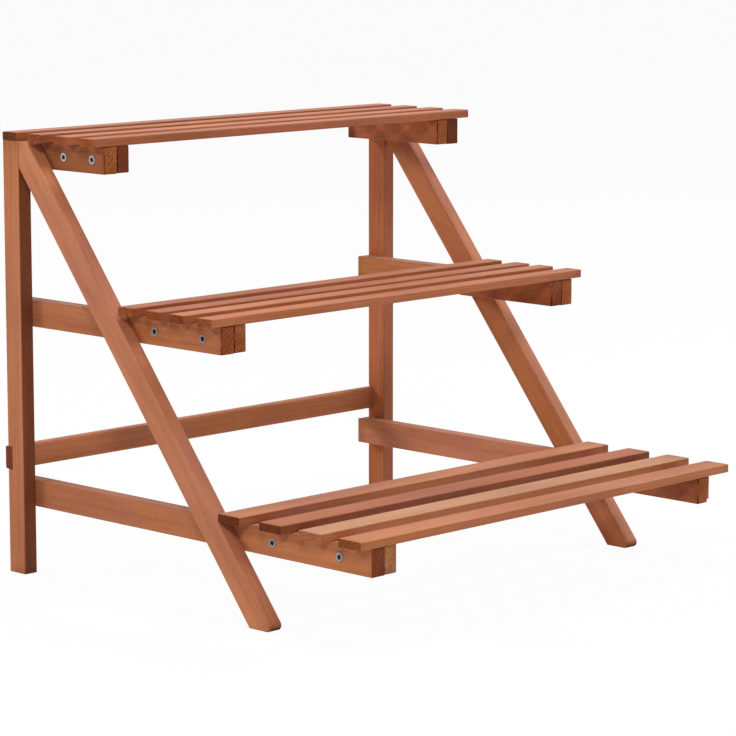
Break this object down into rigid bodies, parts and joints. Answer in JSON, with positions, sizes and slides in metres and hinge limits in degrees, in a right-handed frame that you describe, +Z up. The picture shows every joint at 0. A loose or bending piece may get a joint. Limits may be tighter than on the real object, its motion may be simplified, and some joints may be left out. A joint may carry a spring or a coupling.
{
  "type": "tiered plant stand",
  "caption": "Tiered wooden plant stand: slatted shelves step up and back between two leaning side frames, in reddish-brown stained softwood.",
  "frame": {"origin": "on the floor, midway between the stand's ends and midway from its front to its back", "axes": "+X along the slats, to the right as seen from the front; +Y from the front to the back; +Z up"},
  "size_m": [0.48, 0.45, 0.4],
  "materials": {
    "frame_wood": "satin",
    "slat_wood": "satin",
    "fixing_steel": "satin"
  },
  "bodies": {
    "root": {"back_rail": "frame_wood", "back_rail_nails": "fixing_steel", "bearer_bottom_left": "frame_wood", "bearer_bottom_right": "frame_wood", "bearer_middle_left": "frame_wood", "bearer_middle_right": "frame_wood", "bearer_top_left": "frame_wood", "bearer_top_right": "frame_wood", "frame_nails_left": "fixing_steel", "frame_nails_right": "fixing_steel", "leg_left": "frame_wood", "leg_right": "frame_wood", "post_left": "frame_wood", "post_right": "frame_wood", "rail_bottom_left": "frame_wood", "rail_bottom_right": "frame_wood", "rail_middle_left": "frame_wood", "rail_middle_right": "frame_wood", "rail_top_left": "frame_wood", "rail_top_right": "frame_wood", "shelf_screws_bottom": "fixing_steel", "shelf_screws_middle": "fixing_steel", "shelf_screws_top": "fixing_steel", "slat_bottom_1": "slat_wood", "slat_bottom_2": "slat_wood", "slat_bottom_3": "slat_wood", "slat_bottom_4": "slat_wood", "slat_middle_1": "slat_wood", "slat_middle_2": "slat_wood", "slat_middle_3": "slat_wood", "slat_middle_4": "slat_wood", "slat_nails_bottom": "fixing_steel", "slat_nails_middle": "fixing_steel", "slat_nails_top": "fixing_steel", "slat_top_1": "slat_wood", "slat_top_2": "slat_wood", "slat_top_3": "slat_wood", "slat_top_4": "slat_wood"}
  },
  "joints": []
}
